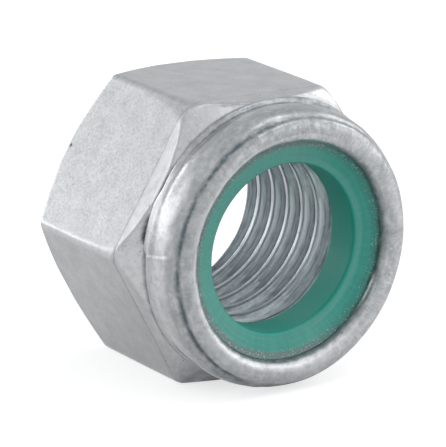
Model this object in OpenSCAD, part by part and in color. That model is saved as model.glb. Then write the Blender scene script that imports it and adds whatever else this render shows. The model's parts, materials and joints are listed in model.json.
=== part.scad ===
// Hexagon lock nut with a nylon locking ring held in a rolled collar.
// The nut lies on one flat. Its bore runs along Y, the bearing face looks to +Y
// and the collar with the ring looks to -Y. All sizes are in millimetres.

/* [Thread] */
// Nominal thread diameter (seven eighths of an inch)
thread_d = 22.225; // [18:0.005:24]
// Thread pitch (nine turns to the inch)
thread_pitch = 2.822; // [1.5:0.001:3.5]
// Share of the full thread height that stands in the bore
thread_share = 0.905; // [0.75:0.005:1]
// Distance both mouths of the bore reach out past the thread
mouth_margin = 0.19; // [0.05:0.01:0.8]
// Slope of both mouths against the bore axis, in degrees
mouth_angle = 45; // [35:1:65]

/* [Hexagon] */
// Width across the flats (one and a quarter inches)
across_flats = 31.75; // [30:0.05:36]
// Length of a corner edge, up from the bearing face
corner_len = 15.98; // [13:0.02:17.5]
// Distance the chamfer's circle on the bearing face reaches out past the flats
face_margin = 0.115; // [-0.8:0.005:0.6]
// Slope of the bearing chamfer, in degrees
face_chamfer_angle = 36.5; // [15:0.5:45]
// Slope of the shoulder under the collar, in degrees
shoulder_angle = 41.4; // [30:0.2:50]
// Height above the corner edges' ends at which the flats begin to draw in
draw_rise = 0.14; // [0.02:0.02:1.2]
// Distance the flats draw in by the height of the collar's bead
draw_in = 0.27; // [0.05:0.01:0.5]

/* [Collar] */
// Whole height of the nut, bearing face to lip
nut_height = 24.8; // [23.5:0.05:26.5]
// Distance the collar's widest ring lies inside the flats
collar_inset = 0.065; // [0.01:0.005:0.6]
// Thickness of the collar's wall at its widest ring
collar_wall = 2.21; // [1.4:0.01:2.8]
// Radius of the collar's rounded outside
bulge_round = 4.1; // [3.2:0.1:6]
// Distance from the lip's top down to the collar's widest ring
bulge_drop = 3.45; // [2.6:0.05:4.2]
// Depth of the neck between bead and bulge
neck_depth = 0.23; // [0.05:0.01:0.6]
// Distance the bead lies inside the collar's widest ring
bead_inset = 0.09; // [0.01:0.01:0.2]
// Height of the bead's middle above the shoulder that it meets
bead_rise = 0.65; // [0.45:0.01:1]
// Radius of the bead's rounded edge
bead_round = 0.45; // [0.3:0.01:0.6]

/* [Rolled lip] */
// Distance the rolled lip reaches in over the wall of the ring's pocket
lip_overhang = 1.09; // [0.6:0.01:1.6]
// Radius of the lip's rounded inner edge
lip_round = 1; // [0.8:0.02:1.2]
// Distance from the lip's top down to the crease between lip and bulge
crease_drop = 1; // [0.8:0.02:1.2]

/* [Locking ring] */
// Height of the ring's seat above the bearing face
seat_height = 18.26; // [17:0.02:19.5]
// Clearance between the ring and the pocket wall
ring_clearance = 0.02; // [0.01:0.01:0.15]
// Distance the ring's bore stands in past the thread's crests
ring_bite = 0.23; // [0.05:0.01:0.6]
// Depth of the ring's raised rim below the lip's top
rim_drop = 1.38; // [0.9:0.02:1.6]
// Gap between the ring's raised rim and the lip
rim_gap = 0.18; // [0.05:0.01:0.5]
// Bevel at the ring's rim
rim_bevel = 0.24; // [0.1:0.02:0.36]
// Height the ring's shoulder climbs around the underside of the lip
catch_rise = 0.14; // [0.02:0.02:0.2]
// Distance the ring's face dips from its rim to its bore
face_dish = 0.92; // [0.4:0.02:1.4]
// Radius of the rounded edge at the ring's bore
bore_edge_round = 0.9; // [0.5:0.02:1.2]

/* [Hidden] */
full_height_per_pitch = 1.0825;
round_steps = 96;
hex_sides = 6;
overshoot = 1;

flat_r = across_flats / 2;
corner_r = flat_r / cos(180 / hex_sides);
wide_r = corner_r + overshoot;
thread_r = thread_d / 2;
minor_r = thread_r - full_height_per_pitch * thread_pitch * thread_share / 2;
mouth_r = thread_r + mouth_margin;
mouth_len = (mouth_r - minor_r) / tan(mouth_angle);
mouth_over = overshoot * tan(mouth_angle);

collar_r = flat_r - collar_inset;
neck_r = collar_r - neck_depth;
pocket_r = collar_r - collar_wall;
bead_r = collar_r - bead_inset;

face_r = flat_r + face_margin;
face_rise = (wide_r - face_r) * tan(face_chamfer_angle);
shoulder_rise = tan(shoulder_angle);
shoulder_foot = corner_len - (wide_r - corner_r) * shoulder_rise;
shoulder_inner_r = pocket_r + overshoot;
shoulder_top = corner_len + (corner_r - shoulder_inner_r) * shoulder_rise;
draw_start = corner_len + draw_rise;
bead_height = corner_len + (corner_r - bead_r) * shoulder_rise + bead_rise;

lip_z = nut_height - lip_round;
lip_under_z = lip_z - lip_round;
lip_inner_r = pocket_r - lip_overhang;
lip_r = lip_inner_r + lip_round;
bulge_z = nut_height - bulge_drop;
bulge_centre_r = collar_r - bulge_round;
crease_z = nut_height - crease_drop;
crease_r = bulge_centre_r + sqrt(bulge_round * bulge_round - (crease_z - bulge_z) * (crease_z - bulge_z));
crown_reach = crease_r - lip_r;
crown_round = (crown_reach * crown_reach + crease_drop * crease_drop) / (2 * crease_drop);

ring_r = pocket_r - ring_clearance;
ring_bore_r = minor_r - ring_bite;
rim_r = lip_inner_r - rim_gap;
rim_z = nut_height - rim_drop;
catch_z = lip_under_z + catch_rise;
edge_r = ring_bore_r + bore_edge_round;
edge_top_z = rim_z - face_dish;
edge_z = edge_top_z - bore_edge_round;

module lay_down() {
  translate([0, nut_height / 2, 0]) rotate([90, 0, 0]) children();
}

module draw_wedge() {
  rotate([90, 0, 0])
    linear_extrude(height = 2 * corner_r, center = true)
      polygon([
        [flat_r, draw_start],
        [flat_r + overshoot, draw_start],
        [flat_r + overshoot, bead_height],
        [flat_r - draw_in, bead_height]
      ]);
}

module drawn_hexagon() {
  difference() {
    cylinder(h = bead_height, r = corner_r, $fn = hex_sides);
    for (side = [0 : hex_sides - 1])
      rotate([0, 0, (side + 0.5) * 360 / hex_sides]) draw_wedge();
  }
}

module chamfer_envelope() {
  rotate_extrude($fn = round_steps)
    polygon([
      [0, 0],
      [face_r, 0],
      [wide_r, face_rise],
      [wide_r, shoulder_foot],
      [shoulder_inner_r, shoulder_top],
      [0, shoulder_top]
    ]);
}

module collar_section() {
  intersection() {
    union() {
      translate([0, draw_start]) square([neck_r, bulge_z - draw_start]);
      translate([bulge_centre_r, bulge_z]) circle(r = bulge_round, $fn = round_steps);
      translate([bead_r - bead_round, bead_height]) circle(r = bead_round, $fn = round_steps);
    }
    translate([minor_r, draw_start]) square([wide_r - minor_r, crease_z - draw_start]);
  }
}

module bore_section() {
  polygon([
    [0, -overshoot],
    [mouth_r + mouth_over, -overshoot],
    [minor_r, mouth_len],
    [minor_r, seat_height - mouth_len],
    [mouth_r, seat_height],
    [pocket_r, seat_height],
    [pocket_r, nut_height + overshoot],
    [0, nut_height + overshoot]
  ]);
}

module lip_section() {
  translate([lip_r, lip_z]) circle(r = lip_round, $fn = round_steps);
  intersection() {
    translate([lip_r, nut_height - crown_round]) circle(r = crown_round, $fn = round_steps);
    translate([lip_r, crease_z]) square([crown_round, crease_drop]);
  }
}

module ring_section() {
  difference() {
    union() {
      polygon([
        [ring_bore_r, seat_height],
        [ring_r, seat_height],
        [ring_r, catch_z],
        [rim_r, catch_z],
        [rim_r, rim_z - rim_bevel],
        [rim_r - rim_bevel, rim_z],
        [edge_r, edge_top_z],
        [edge_r, edge_z],
        [ring_bore_r, edge_z]
      ]);
      intersection() {
        translate([edge_r, edge_z]) circle(r = bore_edge_round, $fn = round_steps);
        translate([ring_bore_r, edge_z]) square([2 * bore_edge_round, bore_edge_round]);
      }
    }
    lip_section();
  }
}

module nut_body() {
  color([0.72, 0.73, 0.75])
    lay_down()
      union() {
        difference() {
          union() {
            intersection() {
              drawn_hexagon();
              chamfer_envelope();
            }
            rotate_extrude($fn = round_steps) collar_section();
          }
          rotate_extrude($fn = round_steps) bore_section();
        }
        rotate_extrude($fn = round_steps) lip_section();
      }
}

module locking_ring() {
  color([0.16, 0.47, 0.42])
    lay_down()
      rotate_extrude($fn = round_steps) ring_section();
}

nut_body();
locking_ring();
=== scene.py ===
# %% [markdown]
# # A hexagon lock nut with a nylon ring
# The real thing is two pieces: a zinc-plated steel nut, and a ring of teal nylon that is trapped
# under the nut's rolled lip. The nut lies on one flat, and its bore runs along Y.
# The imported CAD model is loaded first. It fixes where everything goes and how large it is, so each
# size below is either read from it or is one of the few driving sizes of the nut.

# %% Load the CAD frame
import json
import bpy
import numpy as np
from mathutils import Matrix, Vector


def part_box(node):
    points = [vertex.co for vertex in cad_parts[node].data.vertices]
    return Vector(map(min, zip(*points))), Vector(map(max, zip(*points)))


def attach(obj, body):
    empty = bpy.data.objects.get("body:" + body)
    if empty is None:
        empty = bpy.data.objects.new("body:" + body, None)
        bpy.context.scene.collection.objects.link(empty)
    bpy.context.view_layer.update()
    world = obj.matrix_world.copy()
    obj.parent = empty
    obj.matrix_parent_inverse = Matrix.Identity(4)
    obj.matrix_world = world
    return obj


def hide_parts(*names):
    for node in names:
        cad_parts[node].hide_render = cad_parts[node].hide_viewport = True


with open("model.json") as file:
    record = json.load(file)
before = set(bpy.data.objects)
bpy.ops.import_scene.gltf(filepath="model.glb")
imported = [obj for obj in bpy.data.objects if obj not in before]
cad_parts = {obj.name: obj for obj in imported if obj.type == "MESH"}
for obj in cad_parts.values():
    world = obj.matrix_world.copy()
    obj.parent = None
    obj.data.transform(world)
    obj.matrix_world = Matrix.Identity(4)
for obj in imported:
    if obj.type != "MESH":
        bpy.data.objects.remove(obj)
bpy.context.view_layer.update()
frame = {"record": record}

MM = 0.001

# %% [markdown]
# ## Driving sizes
# The boxes of the two CAD nodes give the width across flats, the height and the ring's place. The
# stated thread mount gives the bore. What is left are sizes that no box shows, such as the slope of a
# chamfer. They are in millimetres, and heights are counted from the bearing face, which looks to +Y.

# %% Sizes from the frame
nut_low, nut_high = (np.array(corner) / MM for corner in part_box("nut_body"))
ring_low, ring_high = (np.array(corner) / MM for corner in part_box("locking_ring"))
mounts = {mount["name"]: mount for mount in frame["record"]["mounts"]}

flat_r = nut_high[2]
corner_r = flat_r / np.cos(np.radians(30))
nut_height = nut_high[1] - nut_low[1]
face_y = nut_high[1]
seat_height = face_y - ring_high[1]
ring_outer_r = ring_high[2]
minor_r = mounts["thread"]["dims"]["r_mm"]
ring_bore_r = mounts["locking_bore"]["dims"]["r_mm"]
print("across flats", round(2 * flat_r, 3), "height", round(nut_height, 3), "seat", round(seat_height, 3))

# %% Driving sizes that no box shows
pitch = 2.822
thread_r = 11.1125
mouth_r = thread_r + 0.19
corner_len = 15.98
face_r = flat_r + 0.115
face_rise = np.tan(np.radians(36.5))
shoulder_rise = np.tan(np.radians(41.4))
draw_start = corner_len + 0.14
draw_in = 0.27
collar_r = flat_r - 0.065
neck_r = collar_r - 0.23
neck_height = 19.45
bead_r = collar_r - 0.09
bead_round = 0.45
bead_height = corner_len + (corner_r - bead_r) * shoulder_rise + 0.65
foot_height = corner_len + (corner_r - neck_r) * shoulder_rise
bulge_round = 4.1
bulge_height = nut_height - 3.45
pocket_r = collar_r - 2.21
lip_round = 1.0
lip_r = pocket_r - 1.09 + lip_round
lip_height = nut_height - lip_round
crease_height = nut_height - 1.0
crest_phase = 2.202
print("bead at", round(bead_height, 3), "lip centre at", (round(lip_r, 3), round(lip_height, 3)))

# %% [markdown]
# ## Camera
# A long lens 0.38 m away, on the collar's side of the nut, a little to the left and above. The
# numbers are the result of fitting the hexagon, the collar and the thread to the picture: two turns,
# a small roll, a distance and a sideways step.

# %% Camera
azimuth, elevation, roll = np.radians([-35.3854, 16.2708, 1.9986])
distance, step_right, step_up = 383.56, 6.163, -2.864
focal_px, image_width, sensor_mm = 3369.68, 446, 36

level_share = np.cos(elevation)
back = np.array([np.sin(azimuth) * level_share, -np.cos(azimuth) * level_share, np.sin(elevation)])
level = np.array([np.cos(azimuth), np.sin(azimuth), 0.0])
rise = np.cross(back, level)
right = level * np.cos(roll) + rise * np.sin(roll)
up = rise * np.cos(roll) - level * np.sin(roll)
aim = np.array([0.0, face_y, 0.0])
place = (aim + right * step_right + up * step_up + back * distance) * MM

camera_data = bpy.data.cameras.new("studio_camera")
camera_data.sensor_fit = "HORIZONTAL"
camera_data.sensor_width = sensor_mm
camera_data.lens = focal_px / image_width * sensor_mm
camera_data.clip_start, camera_data.clip_end = 0.01, 20
camera = bpy.data.objects.new("studio_camera", camera_data)
camera_axes = [[*row, 0] for row in np.stack([right, up, back], axis=1)]
camera.matrix_world = Matrix.Translation(Vector(place)) @ Matrix(camera_axes + [[0, 0, 0, 1]])
bpy.context.scene.collection.objects.link(camera)
bpy.context.scene.camera = camera
print("camera at, mm:", np.round(place / MM, 1), "lens:", round(camera_data.lens, 1))

# %% [markdown]
# ## From a grid of points to a mesh
# Both pieces are closed shapes that run once round the bore, like a rope ring: one parameter turns
# round the axis and the other runs along the section. numpy works out all points at once, as three
# arrays of the same shape, and this function joins each point to its neighbours. Both directions close
# on themselves, so there are no seams and no poles.

# %% Grid to mesh
def ring_mesh(name, radius, height, turn_angle, attributes):
    """Makes a closed mesh from arrays of shape (stations, turns). x = radius * sin(turn),
    z = radius * cos(turn), y = face_y - height, all in millimetres until the last step.
    attributes is {name: array}, with three numbers per point."""
    stations, turns = radius.shape
    points = np.stack([radius * np.sin(turn_angle), face_y - height, radius * np.cos(turn_angle)], axis=-1)
    index = np.arange(stations * turns).reshape(stations, turns)
    next_station = np.roll(index, -1, axis=0)
    next_turn, next_both = np.roll(index, -1, axis=1), np.roll(next_station, -1, axis=1)
    quads = np.stack([index, next_station, next_both, next_turn], axis=-1).reshape(-1, 4)
    corners = points.reshape(-1, 3)[quads]
    areas = np.cross(corners[:, 2] - corners[:, 0], corners[:, 3] - corners[:, 1])
    if np.einsum("ij,ij->", corners[:, 0], areas) < 0:
        quads = quads[:, ::-1]
    mesh = bpy.data.meshes.new(name)
    mesh.vertices.add(stations * turns)
    mesh.vertices.foreach_set("co", (points * MM).astype(np.float32).ravel())
    mesh.loops.add(quads.size)
    mesh.loops.foreach_set("vertex_index", quads.astype(np.int32).ravel())
    mesh.polygons.add(len(quads))
    mesh.polygons.foreach_set("loop_start", np.arange(0, quads.size, 4, dtype=np.int32))
    mesh.update(calc_edges=True)
    mesh.polygons.foreach_set("use_smooth", np.ones(len(quads), bool))
    for label, values in attributes.items():
        layer = mesh.attributes.new(label, "FLOAT_VECTOR", "POINT")
        layer.data.foreach_set("vector", values.astype(np.float32).ravel())
    mesh.validate()
    piece = bpy.data.objects.new(name, mesh)
    bpy.context.scene.collection.objects.link(piece)
    print(name, "faces:", len(mesh.polygons), "box, mm:", np.round(points.reshape(-1, 3).min(0), 2),
          np.round(points.reshape(-1, 3).max(0), 2))
    return piece


# %% [markdown]
# ## Soft edges without a bevel
# Forged and plated edges are never sharp. A bevel modifier needs clean edges to work on, but here each
# surface is a formula, so the rounding can be one too: a *soft minimum* follows the lower of two values
# and rounds the place where they cross. The last number says over how many millimetres.

# %% Soft minimum, maximum and steps
def soft_min(a, b, width):
    """min(a, b), less width/4 * (1 - |a - b| / width)^2 where |a - b| < width."""
    near = np.clip(1 - np.abs(a - b) / width, 0, 1)
    return np.minimum(a, b) - near ** 2 * width / 4


def soft_max(a, b, width):
    """max(a, b), rounded the same way: the soft minimum of the negatives, turned over."""
    return -soft_min(-a, -b, width)


def ease(value, start, end):
    """0 before start, 1 after end, with level ends between them."""
    t = np.clip((value - start) / (end - start), 0, 1)
    return t * t * (3 - 2 * t)


def spread(count):
    """count numbers from 0 to just under 1, closer together at both ends."""
    return (1 - np.cos(np.pi * np.arange(count) / count)) / 2


# %% [markdown]
# ## The turn round the axis
# Six equal sectors, one for each flat, counted from the top flat. The steps are closer at the corners,
# where the surface turns quickly, and wider in the middle of a flat. Marks that belong to one flat or
# one side are placed by their turn in degrees: 0 is up, 90 is +X, and corners are at 30, 90 and so on.

# %% Angles
steps_per_flat = 60
share = np.arange(steps_per_flat) / steps_per_flat * 2 - 1
within = np.radians(30) * (share + 0.72 * np.sin(np.pi * share) / np.pi)
turn_angle = (within[None, :] + np.radians(60) * np.arange(6)[:, None]).ravel()
turn_deg = np.degrees(turn_angle) % 360
side_deg = np.degrees(np.tile(within, 6))
off_middle = np.abs(np.tile(within, 6))
corner_turns = [30, 90, 150, 210, 270, 330]
print("points in one turn:", turn_angle.size)

# %% [markdown]
# ## Bumps, bands and waves
# Every dent, stain and scratch below is laid with the same few tools: a bump along a distance, a bump
# round the turn, one value for each flat, the largest of several shares, and waves for unevenness.

# %% Tools for marks
def hump(value, middle, width):
    """exp(-((value - middle) / width)^2): one soft bump, 1 high."""
    return np.exp(-((value - middle) / width) ** 2)


def turn_hump(middle_deg, width_deg):
    """The same bump round the turn, measured the short way round."""
    return hump((turn_deg - middle_deg + 180) % 360 - 180, 0, width_deg)


def per_flat(values):
    """One value for each of the six flats, repeated over the flat's points."""
    return np.repeat(values, steps_per_flat)


def most(shares):
    """The largest of several shares at each point."""
    return np.maximum.reduce(np.broadcast_arrays(*shares))


def waves(along, count, most_waves, longest_mm, shortest_mm, seed):
    """Sum of cosines with random directions, about 1 high. Each has a whole number of waves in the turn,
    so that the last point meets the first. along is the distance along the section, one per row."""
    rng = np.random.default_rng(seed)
    whole = rng.integers(-most_waves, most_waves + 1, count)
    steep = 2 * np.pi / rng.uniform(shortest_mm, longest_mm, count) * rng.choice([-1, 1], count)
    phase = rng.uniform(0, 2 * np.pi, count)
    angle = whole[:, None, None] * turn_angle + steep[:, None, None] * along[:, None] + phase[:, None, None]
    return np.cos(angle).sum(axis=0) / np.sqrt(count / 2)


# %% [markdown]
# ## The hexagon's skin
# Three kinds of surface meet here: the flats, the chamfer at the bearing face and the conical shoulder
# under the collar. Each gives a radius for any turn and height, and the skin is the lowest of them.
# Close to the collar the flats draw in a little, as on the real nut, and the corner edges grow rounder,
# some more than others.

# %% Hexagon skin
corner_worn = [0.15, 0.4, 0.4, 0.1, 0.35, 1.0]
arch_soft_turns = [30, 90, 150, 210, 270, 322, 332, 345]
arch_soft = [0.2, 1, 1, 0.1, 1, 1, 0.5, 0.15]
step_depth = per_flat([0.03, 0.05, 0.05, 0.05, 0.05, 0.05])
hollow_share = per_flat([0.0, 0.0, 0.4, 0.3, 0.0, 1.0])
slot_depth, basin_depth = 0.8, 0.06
face_edge_round = 0.14


def flats_radius(height):
    """Distance from the axis to the flats: apothem / cos(angle off the middle of a flat), the lower of
    the two flats beside a corner, and softened there."""
    draw = draw_in * (height - draw_start) / (bead_height - draw_start)
    apothem = flat_r - soft_max(draw, 0 * draw, 0.02)
    worn = np.interp(turn_deg, corner_turns, corner_worn, period=360)
    corner_soft = 0.5 + worn * (ease(height, 8.0, corner_len) + ease(height, 13.5, corner_len + 0.3))
    return soft_min(apothem / np.cos(off_middle), apothem / np.cos(np.radians(60) - off_middle), corner_soft)


def step_line(height):
    """A scored line where the flats begin to draw in: depth * exp(-(distance / width)^2)."""
    return step_depth * hump(height, draw_start, 0.09)


def hollow(height):
    """The hollow that the forging leaves in the shoulder where a flat runs out beside the bead: a deep
    slot against the bead and a shallow basin below it. It deepens towards one end of the flat and stops
    short there, with a smaller one at the other end."""
    large = ease(-side_deg, 9, 17) * (1 - ease(-side_deg, 22, 26))
    small = 0.25 * ease(side_deg, 9, 13.5) * (1 - ease(side_deg, 15, 18.5))
    slot = ease(height, 17.75, 18.2) * (large + small)
    basin = ease(height, 16.9, 17.5) * large + 2 * hump(side_deg, -24, 1.2) * hump(height, 17.35, 0.3)
    return hollow_share * (slot_depth * slot + basin_depth * basin)


def skin_radius(height):
    """The lowest of flats, bearing chamfer and shoulder cone, with soft edges. Two swellings of the cone
    stand at single corners, and the edge of the bearing face is a quarter circle."""
    cone = corner_r - (height - corner_len) / shoulder_rise - hollow(height)
    cone = cone + 0.8 * turn_hump(37, 15) * hump(height, 17.6, 1.2)
    cone = cone + 0.2 * turn_hump(210, 12) * hump(height, 16.5, 1.2)
    chamfer = face_r + height / face_rise
    near_corner = ease(np.degrees(off_middle), 17, 27)
    near_corner = near_corner * np.interp(turn_deg, arch_soft_turns, arch_soft, period=360)
    radius = soft_min(flats_radius(height) - step_line(height), cone, 0.14 + 0.4 * near_corner)
    radius = soft_min(radius, chamfer, 0.16)
    edge = np.clip(1 - height / face_edge_round, 0, 1)
    return radius - face_edge_round * (1 - np.sqrt(1 - edge ** 2))


# %% [markdown]
# ## Rows that follow the edges
# A mesh shows a crisp edge only where a row of points lies along it. So the rows of the hexagon aren't
# at equal heights: they follow the curved lines where the chamfer, the scored line and the shoulder
# meet the flats, and crowd together there.

# %% Heights of the hexagon's stations
sharp_r = flat_r / np.cos(off_middle)
chamfer_line = np.maximum((sharp_r - face_r) * face_rise, 0.16)
draw_slope = draw_in / (bead_height - draw_start)
plain_arch = corner_len + (corner_r - sharp_r) * shoulder_rise
drawn_sharp_r = (flat_r + draw_start * draw_slope) / np.cos(off_middle)
drawn_arch = (corner_r + corner_len / shoulder_rise - drawn_sharp_r) / (
    1 / shoulder_rise - draw_slope / np.cos(off_middle))
arch_line = np.where(plain_arch < draw_start, plain_arch, drawn_arch)
draw_line = np.minimum(draw_start, arch_line - 0.12)
knots = [np.zeros_like(arch_line), chamfer_line, draw_line, arch_line, np.full_like(arch_line, foot_height)]
rows_between = (7, 18, 10, 20)
skin_height = np.concatenate([
    low + (high - low) * spread(count)[:, None]
    for low, high, count in zip(knots[:-1], knots[1:], rows_between)])
skin = skin_radius(skin_height)
print("hexagon stations:", len(skin_height))

# %% [markdown]
# ## Collar and rolled lip
# A turned section that runs all the way round: a thin bead, a neck, a long rounded bulge, a shallow
# crease, and the lip that was rolled in over the ring. Bead, bulge and the lip's crown are arcs of
# circles, given as radius against height, and blended maxima join them. From the crown inwards the
# section turns back under itself, so there it is given by an angle.

# %% Collar section
def arc_radius(height, centre_r, centre_height, round_r):
    """The outer side of a circle: centre + sqrt(R^2 - dh^2), and far inside where there is none."""
    inside = round_r ** 2 - (height - centre_height) ** 2
    return np.where(inside > 0, centre_r + np.sqrt(np.maximum(inside, 0)), centre_r - 2)


def arc_points(centre_r, centre_height, round_r, angle):
    """Points (radius, height) on a circle: centre + R * (cos angle, sin angle)."""
    return np.stack([centre_r + round_r * np.cos(angle), centre_height + round_r * np.sin(angle)], axis=1)


crease_r = arc_radius(crease_height, collar_r - bulge_round, bulge_height, bulge_round)
crown_reach, crown_drop = crease_r - lip_r, nut_height - crease_height
crown_round = (crown_reach ** 2 + crown_drop ** 2) / (2 * crown_drop)
crown_height = nut_height - crown_round

collar_rows = 46
crown_from = np.radians(40)
collar_top = crown_height + crown_round * np.sin(crown_from)
collar_height = np.linspace(foot_height, collar_top, collar_rows)
bead = arc_radius(collar_height, bead_r - bead_round, bead_height, bead_round)
bulge = arc_radius(collar_height, collar_r - bulge_round, bulge_height, bulge_round)
crown = arc_radius(collar_height, lip_r, crown_height, crown_round)
undercut = neck_r - 0.1 * (1 - ease(collar_height, foot_height, bead_height))
undercut = undercut - 2 * ease(collar_height, bead_height + 0.6, bulge_height)
collar = soft_max(soft_max(bead, undercut, 0.06), bulge, 0.3)
collar = soft_max(collar, crown, 0.05)

crown_angle = np.linspace(crown_from, np.pi / 2, 12)[1:]
roll_angle = np.radians(np.linspace(90, 262, 23))[1:]
front = np.concatenate([
    np.stack([collar, collar_height], axis=1),
    arc_points(lip_r, crown_height, crown_round, crown_angle),
    arc_points(lip_r, lip_height, lip_round, roll_angle)])
crown_row = collar_rows + len(crown_angle) - 1
edge_row = crown_row + 1 + np.argmin(np.abs(roll_angle - np.pi))
print("crease at radius", round(float(crease_r), 2), "crown radius", round(float(crown_round), 2))

# %% [markdown]
# ## What the rolling left behind
# A lip that is rolled over in a press is never even. Along each point's normal the section is moved by
# a few hundredths of a millimetre of waves, more on the lip than on the bulge. Places on it are known by
# the distance along the section from the bead's foot: the neck, the crease, the lip's crown and its
# inner edge.

# %% Unevenness
step_mm = np.linalg.norm(np.diff(front, axis=0), axis=1)
along = np.concatenate([[0], np.cumsum(step_mm)])
tangent = np.gradient(front, axis=0)
tangent /= np.linalg.norm(tangent, axis=1)[:, None]
normal = np.stack([tangent[:, 1], -tangent[:, 0]], axis=1)
neck_at, crease_at = np.interp([neck_height, crease_height], collar_height, along[:collar_rows])
crown_at, edge_at = along[crown_row], along[edge_row]
print("along the section, mm: neck", round(neck_at, 2), "crease", round(crease_at, 2),
      "crown", round(crown_at, 2), "edge", round(edge_at, 2))

on_bulge = ease(along, 1.2, 2.5) * (1 - ease(along, crease_at - 0.4, crease_at))
on_lip = ease(along, crease_at, crease_at + 0.5) * (1 - ease(along, edge_at, edge_at + 1.0))
lift = 0.010 * on_bulge[:, None] * waves(along, 40, 60, 6.0, 1.2, 11)
lift += 0.014 * on_lip[:, None] * waves(along, 40, 70, 5.0, 0.9, 12)
lift += 0.020 * on_lip[:, None] * waves(along, 12, 12, 9.0, 4.0, 13)

# %% [markdown]
# ## The collar's own marks
# Then come the forms that this one nut has. Tables give an amount at some turns, and np.interp draws
# straight lines between them. The crease is deep on the left and swells shut on the right. The bulge is
# fuller at the top, and there the bead is swollen too. A small step crosses the collar, and to its left
# the rolling smeared the neck shut.

# %% Crease, fullness, step, neck and bead
crease_share = np.interp(turn_deg, [0, 40, 65, 185, 210, 345, 360], [0.6, 0.6, -0.7, -0.7, 1.0, 1.0, 0.6])
lift -= 0.16 * hump(along, crease_at + 0.05, 0.4)[:, None] * crease_share

fuller = np.interp(turn_deg, [0, 20, 40, 60, 80, 170, 200, 300, 360], [0.7, 0.9, 1.8, 1.4, 1, 1, 0, 0, 0.7])
under_crown = ease(along, 1.0, crease_at)[:, None] * (1 - ease(along, crease_at + 0.5, crown_at))[:, None]
lift += 0.12 * under_crown * fuller

step_turn, step_slant = 271.1, 3.6
past_step = turn_deg - step_turn - step_slant * np.clip(along / crease_at, 0, 1)[:, None]
past_step = (past_step + 180) % 360 - 180
step = np.where(past_step < 0, np.exp(np.minimum(past_step, 0) / 6), 1 - ease(past_step, 0, 0.9))
on_collar = ease(along, 0.5, 0.9) * (1 - ease(along, crease_at - 0.6, crease_at - 0.1))
lift += 0.07 * on_collar[:, None] * step

smeared = ease(turn_deg, 222, 236) * (1 - ease(turn_deg, 300, 332))
lift -= 0.07 * hump(along, neck_at, 0.22)[:, None] * (1 - smeared)
on_top = np.interp(turn_deg, [0, 48, 78, 300, 325, 360], [1, 1, 0, 0, 1, 1])
swollen = np.interp(turn_deg, [0, 25, 50, 75, 90, 300, 325, 360],
                    [0.26, 0.7, 0.75, 0.1, 0.0, 0.0, 0.24, 0.26])
lift += (1 - ease(along, neck_at - 0.45, neck_at + 0.05))[:, None] * swollen
scratch_turns = ease(turn_deg, 225, 240) * (1 - ease(turn_deg, 262, 270))
lift -= 0.03 * hump(along, crease_at - 0.65, 0.12)[:, None] * scratch_turns
print("largest lift, mm:", round(float(np.abs(lift).max()), 3))

# %% [markdown]
# ## Lip, sliver and burr
# The lip reaches in further on one side than on the other, and a ragged sliver of metal stands out from
# its inner edge. Over the deepest hollow the bead is bent down as a burr. These move points in radius
# and height as they like, so they come last, once the lift along the normals is in place.

# %% Final points of collar and lip
edge_shift = np.interp(turn_deg, [0, 15, 60, 120, 150, 195, 225, 255, 290, 332, 352, 360],
                       [-0.1, -0.3, -0.35, -0.35, -0.25, -0.25, -0.1, -0.05, 0.3, 0.2, -0.05, -0.1])
inward = ease(along, crown_at - 0.9, crown_at + 0.9)[:, None]
in_neck = ease(front[:, 1], bead_height - 0.05, bead_height + 0.05) * (1 - ease(front[:, 1], 20.4, 21.6))
fill = soft_max(bead_r - front[:, 0], 0 * along, 0.3) * in_neck
front_r = front[:, :1] + normal[:, :1] * lift + inward * edge_shift + fill[:, None] * smeared
front_h = front[:, 1:] + normal[:, 1:] * lift

ragged = 0.65 + 0.35 * np.sin(np.radians(turn_deg) * 90) * np.sin(np.radians(turn_deg) * 37)
sliver_turn = ease(turn_deg, 108, 113) * (1 - ease(turn_deg, 121, 136)) * ragged
sliver = hump(along, edge_at + 0.05, 0.17)[:, None] * sliver_turn
behind_sliver = hump(along, edge_at - 0.32, 0.14)[:, None] * sliver_turn
front_r += -0.18 * sliver - 0.03 * normal[:, :1] * behind_sliver
front_h += 0.24 * sliver - 0.03 * normal[:, 1:] * behind_sliver

burr = ease(turn_deg, 271.8, 274.5) * (1 - ease(turn_deg, 291, 300))
under_bead = (1 - ease(front[:, 1], bead_height - 0.25, bead_height + 0.1))[:, None]
front_h -= 0.27 * burr * under_bead
front_r += 0.12 * burr * under_bead
print("front, mm: radius", np.round([front_r.min(), front_r.max()], 2), "height", np.round(front_h.max(), 2))

# %% [markdown]
# ## Threaded bore
# A right-hand thread: the profile climbs by one pitch for each turn about +Y. The profile is a flat
# crest, two flanks at 30 degrees to the cross-section and a root. It is worked out as a depth from the
# distance to the nearest crest along the axis. At both ends a 45 degree mouth cuts the thread away.

# %% Thread
root_clearance, half_crest, bore_rows = 0.03, 0.3, 126


def past_crest(height):
    """Signed distance along the axis to the nearest crest. It jumps at each root."""
    phase = (face_y - height - crest_phase) / pitch - turn_angle / (2 * np.pi)
    return (phase - np.round(phase)) * pitch


def thread_depth(height):
    """Radial distance outside the crests. Distance d to the nearest crest along the axis gives
    (d - half a crest) / tan(30 degrees), kept between 0 and the root and rounded at both."""
    depth = (np.abs(past_crest(height)) - half_crest) / np.tan(np.radians(30))
    depth = soft_max(depth, np.zeros_like(depth), 0.12)
    return soft_min(depth, np.full_like(depth, thread_r + root_clearance - minor_r), 0.2)


bore_height = np.linspace(seat_height, 0, bore_rows)[:, None] + 0 * turn_angle
mouth_low = mouth_r - bore_height
mouth_high = mouth_r - (seat_height - bore_height)
bore = soft_max(minor_r + thread_depth(bore_height), soft_max(mouth_low, mouth_high, 0.1), 0.12)
print("bore from", round(float(bore.min()), 3), "to", round(float(bore.max()), 3))

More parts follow.
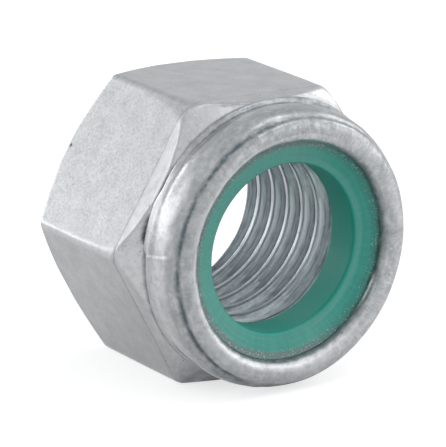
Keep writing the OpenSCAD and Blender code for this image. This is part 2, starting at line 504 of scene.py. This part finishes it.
# %% [markdown]
# ## Painted shade and dirt, painted highlights and wear
# Zinc dulls in hollows and gets bright where it rubs, and here the same shares also paint shade and light
# into the colour. Every point carries nine shares from 0 to 1 for the material, three to an attribute.
# *Grime* is mostly painted shade in hollows, creases, grooves and under the lip, with some dirt, and *wear*
# is mostly painted highlight on edges, ridges, the bulge and the thread's crests, with some real wear.
# *Frost* is the fine crystal look of fresh plating. *Turned* is for lathe marks, *uneven* for patches, and
# *hatched* for the fine lines of the rolling tool. *Matt* is for what the tool left rough, *cool* for the
# bluish thread, and
# *pale* for bare torn metal. Their places come from the shapes above.

# %% Painted shade, painted highlights and finish of the hexagon
share_names = {"finish": ("grime", "wear", "frost"), "working": ("turned", "uneven", "hatched"),
               "places": ("matt", "cool", "pale")}
strip = ease(skin_height, draw_start - 0.03, draw_start + 0.12)
strip = strip * (1 - ease(skin_height, arch_line - 0.12, arch_line + 0.1))

scored_line = per_flat([0.2, 0.45, 0.45, 0.45, 0.45, 0.45]) * hump(skin_height, draw_start, 0.1)
edge_line = 0.5 * turn_hump(330.9, 1.3) * (1 - ease(skin_height, 14.8, 16.0))
# Painted shade: darker in the scored line, along the rounded corner at 331 degrees and at its foot by the
# bearing face, in the hollows, at the shoulder's foot under the collar, on the lowest shoulder, and over the
# light line above the arch near 347 degrees.
skin_grime = most([
    scored_line,
    edge_line + 0.45 * turn_hump(332, 3) * hump(skin_height, 0.6, 0.9),
    1.2 * ease(hollow(skin_height), 0.17, 0.5),
    0.55 * ease(skin_height, foot_height - 0.25, foot_height),
    0.8 * turn_hump(192, 22) * ease(skin_height, 15.2, 16.6),
    0.6 * turn_hump(347, 15) * hump(skin_height - arch_line, 0.1, 0.22)])
# Painted highlights: lighter corner edges up to the shoulder, a lighter strip where the flats draw in, and a
# lighter shoulder cone above the arch line.
skin_wear = most([
    0.6 * ease(np.degrees(off_middle), 27.5, 30) * (1 - ease(skin_height, 15.2, 16.2)),
    per_flat([0.0, 0.2, 0.2, 0.2, 0.2, 0.35]) * strip,
    0.45 * ease(skin_height, arch_line, arch_line + 0.2)])
skin_frost = per_flat([0.25, 0.3, 0.3, 0.3, 0.5, 1.0]) * (1 - strip)
print("skin rows", len(skin), "most grime", round(float(skin_grime.max()), 2))

# %% [markdown]
# On the collar the painted shade outside the crown is listed apart from that inside, where it deepens
# towards and under the lip and where some dirt lies at the rim. The sliver, the crack and the burr are fresh
# metal, so they stay clean.

# %% Painted shade and dirt of the collar and the lip
high, out, along_row = front[:, 1:], front[:, :1], along[:, None]
at_left = ease(turn_deg, 140, 215) * (1 - ease(turn_deg, 300, 350))
at_bottom = turn_hump(185, 32)
at_right = ease(turn_deg, 12, 40) * (1 - ease(turn_deg, 130, 160))
outside = along_row <= crown_at

foot_share = (0.5 - 0.15 * on_top + 0.3 * ease(turn_deg, 268, 275) * (1 - on_top)) * (1 - burr)
# Painted shade outside the crown: at the collar's foot, in the neck line, in a grey band beside the burr, in
# the crease, on the lip's outer flank, along the bottom, over the top of the bulge and the bead, and over
# the upper end of the bulge's highlight on the left.
outside_painted_shade = most([
    foot_share * (1 - ease(high, foot_height, foot_height + 0.2)),
    (1 - smeared) * hump(high, 19.5, 0.22),
    0.42 * smeared * ease(turn_deg, 270, 276) * hump(high, 19.8, 0.3),
    1.15 * np.maximum(crease_share, 0) * hump(high, crease_height + 0.1, 0.33),
    (0.14 * at_left + 0.1 * at_bottom) * ease(out, 13.5, 14.1) * ease(high, 23.8, 24.0),
    at_bottom * ease(high, 22.0, 23.0) * (1 - ease(high, 23.9, 24.45)),
    0.35 * turn_hump(350, 40) * ease(high, 20.3, 21.3),
    0.2 * at_left * ease(high, 22.1, 22.8),
    0.5 * on_top * hump(high, bead_height, 0.45),
    0.4 * on_top * hump(high, 22.9, 0.5)])
# Inside the crown: painted shade on the lip's inner flank at the right and at the bottom, and under the lip.
# At the rim the right side is painted shade and the bottom is dirt.
rim_shade_and_dirt = np.maximum(at_right, turn_hump(190, 45)) * (1 - 0.8 * sliver_turn)
inside_shade_and_dirt = most([
    0.2 * at_right * ease(along_row, crown_at - 0.6, crown_at + 0.2),
    0.42 * at_right * ease(along_row, crown_at + 0.3, crown_at + 0.8),
    0.9 * turn_hump(190, 38) * ease(along_row, edge_at - 0.9, edge_at - 0.5),
    0.9 * rim_shade_and_dirt * ease(along_row, edge_at - 0.5, edge_at - 0.1),
    ease(along_row, edge_at + 0.15, edge_at + 0.5)])
front_grime = np.maximum(outside_painted_shade * outside, inside_shade_and_dirt)
# Painted shade also lies in the groove behind the sliver.
front_grime = np.maximum(front_grime * (1 - sliver), 0.35 * behind_sliver)
print("front rows", len(front), "most grime", round(float(front_grime.max()), 2))

# %% Painted highlights, wear and texture of the collar and the lip
crack_turn = 94.5 + 1.2 * np.sin(along_row * 5)
crack = hump(turn_deg, crack_turn, 0.5) * hump(along_row, crown_at - 0.4, 0.9)
# Painted highlights: a light line on the bead, the broad highlight on the bulge's left and a light dash
# beside the step; the lip's crown is lighter too, most on the left and at the bottom. The burr, the crack
# and the sliver are bright fresh metal.
outside_highlights_and_burr = most([
    0.3 * (1 - on_top) * hump(high, bead_height, 0.3),
    0.7 * at_left * (1 - ease(turn_deg, 300, 322)) * hump(high, 21.0, 1.0),
    burr * hump(high, foot_height, 0.4)])
front_wear = most([
    outside_highlights_and_burr * outside,
    (0.25 + 0.45 * np.maximum(at_left, at_bottom)) * hump(out, lip_r - 0.3, 0.8) * (high > 24),
    0.6 * hump(along_row, 0.55 * crease_at, 1.2) * hump(past_step, 0.6, 0.9),
    0.8 * crack,
    sliver])
front_pale = most([sliver, 0.9 * crack, 0.95 * burr * hump(high, bead_height + 0.05, 0.3)])
front_hatched = on_lip[:, None] * (0.25 + 0.75 * np.maximum(turn_hump(10, 75), turn_hump(120, 40)))
front_matt = ease(along_row, crease_at + 0.4, crease_at + 1.3)
front_matt = front_matt + 0.4 * np.maximum(smeared, turn_hump(312, 14)) * on_bulge[:, None]
print("most wear", round(float(front_wear.max()), 2), "most pale", round(float(front_pale.max()), 2))

# %% [markdown]
# The thread was cut into the forged and drilled nut, and the plating followed it. Painted shade darkens its
# flanks and its roots, and a painted highlight lightens its crests. The crests next to the ring and the
# lowest part of the bore are painted darker, and in the lowest part the crests lose their highlight.

# %% Painted shade and highlights of the thread
on_crest = 1 - ease(bore - minor_r, 0.02, 0.22)
low_part = turn_hump(165, 45)
# Painted shade in the flanks and roots, on the crests next to the ring and in the lowest part; a painted
# highlight on the other crests.
flank_grime = 0.25 * ease(bore - minor_r, 0.1, 0.5)
root_grime = 0.6 * ease(bore - minor_r, 0.95, 1.25)
bore_grime = most([
    np.maximum(flank_grime, root_grime) * (1 - 0.5 * low_part),
    0.35 * ease(bore_height, 15.6, 16.6) * on_crest,
    0.5 * low_part])
bore_wear = on_crest * (0.4 - 0.4 * low_part)
print("most grime in the thread", round(float(bore_grime.max()), 2))

# %% [markdown]
# ## One closed steel body
# The section runs out along the bearing face, up the hexagon, over collar and lip, down into the pocket
# that holds the ring, and back through the thread. The grain is a second set of coordinates that is
# rolled out along the surface: millimetres along the section, and round the turn. Streaks that follow
# the lathe or the thread are drawn in it. In the thread it starts again at each root.

# %% Assemble the nut body
grain_r = 13
body_rows = {name: [] for name in ("radius", "height", "grain", *sum(share_names.values(), ()))}


def add_rows(radius, height, grain=np.nan, **shares):
    """Adds rows of points to the section, with their shares for the material. A share that isn't named is 0.
    Where no grain is given, the distance along the section is filled in later."""
    given = {"radius": radius, "height": height, "grain": grain, **shares}
    for name, parts in body_rows.items():
        parts.append(given.get(name, 0.0) + 0 * turn_angle + 0 * radius)


def with_round(first, turn):
    """(first, R sin turn, R cos turn): the rolled-out coordinates in millimetres."""
    circle = grain_r * np.stack([np.sin(turn), np.cos(turn)], axis=-1)
    return np.concatenate([first[..., None], np.broadcast_to(circle, first.shape + (2,))], axis=-1)


face_share = np.linspace(0, 1, 7)[1:-1, None]
add_rows(mouth_r + (skin[0] - mouth_r) * face_share, 0 * face_share, grime=0.15, wear=0.1, frost=0.3,
         turned=1.0, uneven=0.2)
add_rows(skin, skin_height, grime=skin_grime, wear=skin_wear, frost=skin_frost,
         uneven=0.08 + 0.2 * ease(skin_height, 15.5, 16.5))
add_rows(front_r, front_h, grime=front_grime, wear=front_wear, frost=0.35, turned=0.2, uneven=0.8,
         hatched=front_hatched, matt=front_matt, pale=front_pale)
# The pocket and its floor, hidden under the ring, are painted fully shaded.
pocket_line = np.linspace(front[-1, 1] - 0.1, seat_height + 0.05, 6)[:, None]
add_rows(pocket_r + 0 * pocket_line, pocket_line, grime=1.0, turned=0.5, uneven=0.3)
floor_line = np.linspace(pocket_r, mouth_r, 6)[1:-1, None]
add_rows(floor_line, seat_height + 0 * floor_line, grime=1.0, turned=0.5, uneven=0.3)
add_rows(bore, bore_height, grain=past_crest(bore_height), grime=bore_grime, wear=bore_wear, frost=0.1,
         turned=1.0, uneven=0.35, matt=0.25 + 0.35 * on_crest, cool=1.0)

body = {name: np.concatenate(parts) for name, parts in body_rows.items()}
middle = np.stack([body["radius"].mean(1), body["height"].mean(1)], axis=1)
body_along = np.concatenate([[0], np.cumsum(np.linalg.norm(np.diff(middle, axis=0), axis=1))])
body_grain = np.where(np.isnan(body["grain"]), body_along[:, None], body["grain"])
body_shares = {label: np.stack([body[name] for name in names], axis=-1)
               for label, names in share_names.items()}

nut_body = ring_mesh("steel_nut_body", body["radius"], body["height"], turn_angle,
                     {**body_shares, "grain": with_round(body_grain, turn_angle)})
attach(nut_body, "root")
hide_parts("nut_body")

# %% [markdown]
# ## Locking ring
# Nylon, pressed into the pocket before the lip is rolled over. Its face dips from a raised rim down to
# the bore, its shoulder wraps under the lip, and its edges are soft, as moulded plastic's are. The
# section is a short list of corners, each rounded by a curve that touches both sides.

# %% Rounded section
def rounded_section(corners, gap):
    """corners is a list of (radius, height, rounding). Each corner becomes a curve with the corner as its
    control point, and the straight sides get points about gap apart. Returns two arrays, closed in order."""
    points = np.array([corner[:2] for corner in corners], float)
    before, after = np.roll(points, 1, axis=0) - points, np.roll(points, -1, axis=0) - points
    before /= np.linalg.norm(before, axis=1)[:, None]
    after /= np.linalg.norm(after, axis=1)[:, None]
    half = np.arccos(np.clip((before * after).sum(1), -1, 1)) / 2
    reach = np.array([corner[2] for corner in corners]) / np.tan(half)
    t = np.linspace(0, 1, 7)[:, None]
    pieces = []
    for k in range(len(corners)):
        start, end = points[k] + before[k] * reach[k], points[k] + after[k] * reach[k]
        arc = (1 - t) ** 2 * start + 2 * t * (1 - t) * points[k] + t ** 2 * end
        k_next = (k + 1) % len(corners)
        far = points[k_next] + before[k_next] * reach[k_next]
        count = max(int(np.linalg.norm(far - end) / gap), 1)
        side = end + (far - end) * np.linspace(0, 1, count + 1)[1:-1, None]
        pieces += [arc, side]
    return np.concatenate(pieces).T


# %% Ring section
rim_height = face_y - ring_low[1]
rim_r = lip_r - lip_round - 0.18
rim_bevel = 0.24
lip_under = lip_height - lip_round
catch_height = lip_under + 0.14
face_inner_height = rim_height - 0.92
ring_corners = [
    (ring_bore_r, seat_height, 0.15),
    (ring_bore_r, face_inner_height, 0.5),
    (rim_r - rim_bevel, rim_height, 0.25),
    (rim_r, rim_height - rim_bevel, 0.08),
    (rim_r, catch_height, 0.05),
    (12.94, catch_height, 0.05),
    (13.15, lip_under, 0.05),
    (ring_outer_r, lip_under - 0.03, 0.02),
    (ring_outer_r, seat_height, 0.15),
]
section_r, section_h = rounded_section(ring_corners, 0.16)
ring_turns = np.linspace(0, 2 * np.pi, 288, endpoint=False)
ring_deg = np.degrees(ring_turns)
on_face = section_h > face_inner_height - 0.3
press_line = 0.03 * hump(section_r, 10.0, 0.12) * on_face
pushed_up = (ease(section_r, 11.95, 12.25) * on_face)[:, None] + 0 * ring_deg
ring_r = section_r[:, None] + 0.07 * pushed_up
ring_h = (section_h - press_line)[:, None] + 0.2 * pushed_up
print("ring stations:", len(section_r), "rim at", round(float(rim_r), 2))

# %% [markdown]
# Its finish has shares of its own. Painted shade darkens the corner under the lip on the nut's right, the
# face beside it and the pressed line there. Grey dust lies on the left, and bits of zinc were pressed into
# the same strip when the lip was rolled. A painted highlight follows the bore's edge on the right, the bore
# itself is a deeper green, and painted light makes the upper left paler.

# %% Painted shade, painted light and finish of the ring
ring_right = ease(ring_deg, 5, 40) * (1 - ease(ring_deg, 135, 165))
ring_bottom = hump(ring_deg, 195, 35)
# Painted shade on the right: in the corner under the lip, on the face next to it and in the pressed line.
ring_grime = ring_right * most([
    ease(ring_r, 11.85, 12.05),
    0.35 * ease(ring_r, 11.0, 11.7),
    0.3 * ease(press_line, 0.008, 0.025)[:, None]])
ring_dust = ease(ring_r + 0.2 * ring_bottom, 11.5, 11.9) * (1 - ring_right)
ring_specks = 0.6 * ease(ring_r, 11.1, 11.7) + 0.4 * ring_dust
# A painted highlight on the rounded edge of the bore, on the right.
ring_edge_highlight = (hump(section_r, ring_bore_r + 0.5, 0.3) * on_face)[:, None] * ring_right
ring_in_bore = 1 - ease(ring_r, 9.5, 9.9)
# Painted light: the upper left, but for its lowest part, is made paler and lighter.
ring_painted_light = (1 - ring_right) * (1 - 0.9 * ring_bottom) + 0 * ring_r
ring_along = np.concatenate([[0], np.cumsum(np.hypot(np.diff(section_r), np.diff(section_h)))])

ring = ring_mesh("nylon_locking_ring", ring_r, ring_h, ring_turns, {
    "finish": np.stack([ring_grime, ring_specks, ring_edge_highlight], axis=-1),
    "zones": np.stack([ring_dust, ring_in_bore, ring_painted_light], axis=-1),
    "grain": with_round(ring_along[:, None] + 0 * ring_r, ring_turns)})
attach(ring, "root")
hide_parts("locking_ring")

# %% [markdown]
# ## Material helpers
# Hex colours are how a designer writes a colour, and the shader wants linear light, so one function
# turns one into the other. One more adds a node, sets its inputs and links it. Both materials are then
# built the same way: shares are read from the mesh, noise patterns break them up, colours are laid over
# each other by share, and weighted sums give the gloss and the relief.

# %% Colour and node helpers
def linear(hex_colour):
    """sRGB hex to linear RGBA: v / 12.92 below 0.04045, else ((v + 0.055) / 1.055) ^ 2.4."""
    value = np.array([int(hex_colour[k:k + 2], 16) for k in (1, 3, 5)]) / 255
    value = np.where(value <= 0.04045, value / 12.92, ((value + 0.055) / 1.055) ** 2.4)
    return (*value, 1.0)


def add_node(tree, kind, settings=None, **inputs):
    """Adds one node. settings are its own properties. Each input is a value, or an output to link. It is
    named as on the node, or i0, i1 and so on by its place where a node has several of one name."""
    node = tree.nodes.new(kind)
    for name, value in (settings or {}).items():
        setattr(node, name, value)
    for name, value in inputs.items():
        key = int(name[1:]) if name[0] == "i" and name[1:].isdigit() else name.replace("_", " ")
        socket = node.inputs[key]
        if isinstance(value, bpy.types.NodeSocket):
            tree.links.new(value, socket)
        else:
            socket.default_value = value
    return node


def new_material(name):
    """An empty node material, and its node tree."""
    material = bpy.data.materials.new(name)
    material.use_nodes = True
    material.node_tree.nodes.clear()
    return material, material.node_tree


# %% Layers of a finish
def mesh_shares(tree, labels):
    """Reads attributes of the mesh that hold three shares each, and returns the shares in order."""
    shares = []
    for label in labels:
        packed = add_node(tree, "ShaderNodeAttribute", {"attribute_name": label}).outputs["Vector"]
        shares += add_node(tree, "ShaderNodeSeparateXYZ", Vector=packed).outputs
    return shares


def noise_patterns(tree, coords, grains, streaks):
    """Noise, as numbers from 0 to 1. grains is a list of (size in mm, detail, roughness), drawn in Object
    coordinates, which come in metres. streaks is a list of (mm along the section, mm round the turn,
    detail), drawn in the rolled-out coordinates of the attribute grain, which are in millimetres."""
    rolled_out = add_node(tree, "ShaderNodeAttribute", {"attribute_name": "grain"}).outputs["Vector"]
    drawn = [(coords, 1 / (size * MM), detail, roughness) for size, detail, roughness in grains]
    for along_mm, round_mm, detail in streaks:
        squeezed = add_node(tree, "ShaderNodeVectorMath", {"operation": "DIVIDE"}, i0=rolled_out,
                            i1=(along_mm, round_mm, round_mm)).outputs[0]
        drawn.append((squeezed, 1.0, detail, 0.6))
    return [add_node(tree, "ShaderNodeTexNoise", Vector=where, Scale=scale, Detail=detail,
                     Roughness=roughness).outputs["Fac"] for where, scale, detail, roughness in drawn]


def colour_layers(tree, tone, layers):
    """Lays colours over each other. layers is {name: (where, pattern, start, end, low, high, colour)}. The
    layer's share is where, times the pattern with start..end stretched to low..high and held beyond
    them. Without a pattern it is where * high. Returns the last colour, and the shares by name."""
    shares = {}
    for name, (where, pattern, start, end, low, high, colour) in layers.items():
        amount = high
        if pattern is not None:
            amount = add_node(tree, "ShaderNodeMapRange", Value=pattern, From_Min=start, From_Max=end,
                              To_Min=low, To_Max=high).outputs["Result"]
        shares[name] = add_node(tree, "ShaderNodeMath", {"operation": "MULTIPLY"}, i0=where,
                                i1=amount).outputs[0]
        tone = add_node(tree, "ShaderNodeMix", {"data_type": "RGBA"}, i0=shares[name], i6=tone,
                        i7=linear(colour)).outputs[2]
    return tone, shares


def weighted_sum(tree, total, terms):
    """total + the sum of pattern * weight, or of pattern * where * weight for terms of three."""
    for pattern, *where, weight in terms:
        for share in where:
            pattern = add_node(tree, "ShaderNodeMath", {"operation": "MULTIPLY"}, i0=pattern,
                               i1=share).outputs[0]
        total = add_node(tree, "ShaderNodeMath", {"operation": "MULTIPLY_ADD"}, i0=pattern, i1=weight,
                         i2=total).outputs[0]
    return total


# %% [markdown]
# ## Zinc-plated steel
# Electroplated zinc on forged steel is a satin metal, cool light grey. The forging leaves it cloudy, the
# plating adds a fine frost, and the lathe adds streaks on collar and thread. In the picture the grains of
# frost are about 0.1 mm. They are drawn three times as large, so that they survive a small render.

# %% Zinc: shares and patterns
zinc, tree = new_material("zinc_plated_steel")
coords = add_node(tree, "ShaderNodeTexCoord").outputs["Object"]
grime, wear, frost, turned, uneven, hatched, matt, cool, pale = mesh_shares(tree, share_names)
clouds, mottle, speckle, pores, round_streaks, patches, hatch, fine_streaks = noise_patterns(
    tree, coords,
    grains=[(2.2, 4.0, 0.6), (0.7, 3.0, 0.6), (0.32, 2.0, 0.7), (0.5, 2.0, 0.6)],
    streaks=[(0.3, 6.0, 3.0), (0.9, 1.7, 3.0), (0.7, 0.22, 2.0), (0.2, 6.0, 2.0)])
patchy = weighted_sum(tree, 0.0, [(mottle, 0.4), (patches, 0.6)])

nick_turn, nick_up = np.radians(300.7), 0.44
nick_place = np.array([flat_r * np.sin(nick_turn), face_y - nick_up, flat_r * np.cos(nick_turn)]) * MM
nick_distance = add_node(tree, "ShaderNodeVectorMath", {"operation": "DISTANCE"}, i0=coords,
                         i1=tuple(nick_place)).outputs["Value"]
print("nick at, mm:", np.round(nick_place / MM, 2))

# %% [markdown]
# The layers go on roughly as the real surface came about: the cloudy ground, the marks of tools with the
# frost of the plating over them, then what rubbed it with the painted highlights, and last the painted shade
# with some dirt, and the damage.

# %% Zinc: colour
tone, layer = colour_layers(tree, linear("#B3B4B6"), {
    "clouds": (1.0, clouds, 0.3, 0.7, 0.0, 1.0, "#C5C6C7"),
    "dark patches": (uneven, patchy, 0.47, 0.36, 0.0, 0.6, "#999FA4"),
    "light patches": (uneven, patchy, 0.50, 0.62, 0.0, 0.7, "#DADBDC"),
    "dark hatching": (hatched, hatch, 0.48, 0.34, 0.0, 0.3, "#969CA1"),
    "light hatching": (hatched, hatch, 0.52, 0.68, 0.0, 0.6, "#E2E3E4"),
    "light frost": (frost, speckle, 0.42, 0.66, 0.0, 0.25, "#E2E2E0"),
    "dark frost": (frost, speckle, 0.50, 0.30, 0.0, 0.5, "#A2A4A8"),
    "lathe marks": (turned, round_streaks, 0.35, 0.65, 0.32, 0.0, "#8E959A"),
    "cool thread": (cool, None, None, None, None, 0.8, "#DFE7EC"),
    "thread streaks": (cool, fine_streaks, 0.52, 0.38, 0.0, 0.65, "#7B858C"),
    # Rubbed: wear on fresh metal, and painted highlights on edges, ridges, the bulge and the thread's
    # crests.
    "rubbed_and_highlight": (wear, mottle, 0.35, 0.55, 0.5, 1.0, "#DEDFE1"),
    # Soiled: painted shade in hollows, creases, grooves and under the lip, with some dirt, in the colour of
    # a shaded groove.
    "shade_and_soil": (grime, patchy, 0.36, 0.62, 1.15, 0.55, "#5A666C"),
    "torn": (pale, mottle, 0.35, 0.5, 0.0, 1.0, "#DADCDD"),
    "pits": (1.0, pores, 0.30, 0.24, 0.0, 0.6, "#6C767B"),
    "nick": (1.0, nick_distance, 0.30 * MM, 0.12 * MM, 0.0, 0.9, "#3C454B")})
print("layers on the zinc:", ", ".join(layer))

# %% [markdown]
# Rubbed zinc and its painted highlights are glossier, and dirt and painted shade are duller. Painted shade,
# dirt and torn metal also lose most of the mirror, so the metallic value falls where they lie. The relief is
# in millimetres, a few hundredths for each pattern.

# %% Zinc: gloss and relief
gloss = weighted_sum(tree, 0.37, [
    (layer["rubbed_and_highlight"], -0.10), (uneven, -0.09), (matt, 0.16), (layer["shade_and_soil"], 0.12)])
covered = add_node(tree, "ShaderNodeMath", {"operation": "ADD", "use_clamp": True},
                   i0=layer["shade_and_soil"], i1=pale).outputs[0]
metal = weighted_sum(tree, 1.0, [(covered, -0.7)])
relief = weighted_sum(tree, 0.0, [
    (clouds, 0.030), (mottle, 0.010), (mottle, uneven, 0.035), (patches, uneven, 0.030),
    (speckle, frost, 0.012), (round_streaks, turned, 0.010), (hatch, hatched, 0.010),
    (fine_streaks, cool, 0.006), (layer["pits"], -0.0333)])
bump = add_node(tree, "ShaderNodeBump", Height=relief, Distance=MM, Strength=1.0).outputs["Normal"]
shader = add_node(tree, "ShaderNodeBsdfPrincipled", Base_Color=tone, Metallic=metal, Roughness=gloss,
                  Normal=bump)
add_node(tree, "ShaderNodeOutputMaterial", Surface=shader.outputs["BSDF"])
nut_body.data.materials.append(zinc)
print("zinc nodes:", len(tree.nodes))

# %% [markdown]
# ## Nylon
# Moulded polyamide, dyed through: semi-matt, with faint streaks round the bore and across the face where
# the ring was pressed. Painted shade and pale specks of zinc sit near the rim.

# %% Nylon
nylon, tree = new_material("moulded_nylon")
coords = add_node(tree, "ShaderNodeTexCoord").outputs["Object"]
grime, specks, edge_highlight, dust, in_bore, painted_light_share = mesh_shares(tree, ("finish", "zones"))
clouds, dots, round_streaks, cross_streaks = noise_patterns(
    tree, coords, grains=[(1.2, 3.0, 0.5), (0.17, 1.0, 0.5)], streaks=[(0.25, 8.0, 3.0), (3.0, 0.6, 3.0)])
blend = weighted_sum(tree, 0.0, [(round_streaks, 0.5), (cross_streaks, 0.5)])
tone, layer = colour_layers(tree, linear("#268D80"), {
    "streaks": (1.0, blend, 0.35, 0.62, 0.0, 1.0, "#339B8C"),
    # Bright edge is a painted highlight on the bore's edge.
    "bright edge": (edge_highlight, None, None, None, None, 0.5, "#6FB5A8"),
    "bore": (in_bore, None, None, None, None, 0.8, "#0C9E8C"),
    # Haze is painted light on the upper left.
    "painted_light": (painted_light_share, None, None, None, None, 0.14, "#A9BDB5"),
    "dust": (dust, clouds, 0.35, 0.62, 1.0, 0.6, "#6C7578"),
    # Soiled is painted shade on the ring's right.
    "shade_and_soil": (grime, clouds, 0.35, 0.6, 1.0, 0.55, "#2C4C4C"),
    "zinc specks": (specks, dots, 0.63, 0.68, 0.0, 1.0, "#B9C6BF")})
relief = weighted_sum(tree, 0.0, [(round_streaks, 0.012), (clouds, 0.012)])
bump = add_node(tree, "ShaderNodeBump", Height=relief, Distance=MM, Strength=1.0).outputs["Normal"]
shader = add_node(tree, "ShaderNodeBsdfPrincipled", Base_Color=tone, Roughness=0.42, IOR=1.53, Normal=bump)
add_node(tree, "ShaderNodeOutputMaterial", Surface=shader.outputs["BSDF"])
ring.data.materials.append(nylon)
print("nylon nodes:", len(tree.nodes))

# %% [markdown]
# ## Floor and studio
# A white floor under a white surround. The floor's own white is partly lit, so the nut's soft shadow
# stays on it, and partly given, so that it reaches the white of the page for the camera, in reflections
# and through clear things. The lamps add no more light than a colour needs to look as written.

# %% Floor
half, floor_z = 3.0, nut_low[2] * MM
floor_corners = [(x * half, y * half, floor_z) for x, y in ((-1, -1), (1, -1), (1, 1), (-1, 1))]
floor_mesh = bpy.data.meshes.new("studio_floor")
floor_mesh.from_pydata(floor_corners, [], [(0, 1, 2, 3)])
floor = bpy.data.objects.new("studio_floor", floor_mesh)
bpy.context.scene.collection.objects.link(floor)

floor_white, tree = new_material("white_floor")
path = add_node(tree, "ShaderNodeLightPath")
mirrored = add_node(tree, "ShaderNodeMath", {"operation": "MAXIMUM"}, i0=path.outputs["Is Glossy Ray"],
                    i1=path.outputs["Is Transmission Ray"]).outputs[0]
given = weighted_sum(tree, 0.0, [(mirrored, 0.35), (path.outputs["Is Camera Ray"], 0.66)])
glow = add_node(tree, "ShaderNodeEmission", Color=(1, 1, 1, 1), Strength=given)
lit = add_node(tree, "ShaderNodeBsdfDiffuse", Color=(0.5, 0.5, 0.5, 1))
both = add_node(tree, "ShaderNodeAddShader", i0=glow.outputs[0], i1=lit.outputs[0])
add_node(tree, "ShaderNodeOutputMaterial", Surface=both.outputs[0])
floor_mesh.materials.append(floor_white)
print("floor at, mm:", round(floor_z / MM, 3))

# %% Surround
world = bpy.data.worlds.new("white_studio")
bpy.context.scene.world = world
world.use_nodes = True
tree = world.node_tree
tree.nodes.clear()
camera_ray = add_node(tree, "ShaderNodeLightPath").outputs["Is Camera Ray"]
strength = add_node(tree, "ShaderNodeMapRange", Value=camera_ray, To_Min=0.80, To_Max=1.0).outputs["Result"]
surround = add_node(tree, "ShaderNodeBackground", Color=(0.985, 1, 1.015, 1), Strength=strength)
add_node(tree, "ShaderNodeOutputWorld", Surface=surround.outputs["Background"])
print("surround nodes:", len(tree.nodes))

# %% [markdown]
# ## Lamps
# Seven soft boxes round the nut. Satin metal shows a lamp as a broad soft band, so each was placed and
# sized by where its band falls on the flats and on the bulge. The camera itself doesn't see them.

# %% Lamps
def soft_box(name, azimuth_deg, elevation_deg, wide_deg, high_deg, radiance, away=0.6):
    """A flat soft box that faces the nut from a compass direction (0 is +Y, 90 is +X). Its size is the
    angle that it fills, 2 * away * tan(angle / 2). A flat lamp of area A and power P gives off
    P / (pi * A), so the power follows from the wanted brightness, where the surround is about 1."""
    width, height = 2 * away * np.tan(np.radians([wide_deg, high_deg]) / 2)
    data = bpy.data.lights.new(name, "AREA")
    data.shape, data.size, data.size_y = "RECTANGLE", width, height
    data.energy = radiance * np.pi * width * height
    lamp = bpy.data.objects.new(name, data)
    a, e = np.radians([azimuth_deg, elevation_deg])
    toward = Vector((np.sin(a) * np.cos(e), np.cos(a) * np.cos(e), np.sin(e)))
    facing = toward.to_track_quat("Z", "Y").to_matrix().to_4x4()
    lamp.matrix_world = Matrix.Translation(toward * away) @ facing
    lamp.visible_camera = False
    bpy.context.scene.collection.objects.link(lamp)
    return lamp


soft_box("lamp_behind", 0, 9, 30, 20, 2.9)
soft_box("lamp_left_low", -45, 7.5, 60, 17, 1.0)
soft_box("lamp_left_high", -60, 28, 27, 20, 1.0)
soft_box("lamp_right", 90, 28, 27, 20, 1.75)
soft_box("lamp_right_low", 120, 9, 30, 20, 1.3)
soft_box("lamp_top", 120, 69, 30, 20, 1.85)
soft_box("lamp_front_right", 150, 30, 40, 30, 0.8)
print("lamps:", len(bpy.data.lights))

# %% [markdown]
# ## Last settings
# The plain view transform shows colours as written.

# %% Finish
bpy.context.scene.view_settings.view_transform = "Standard"
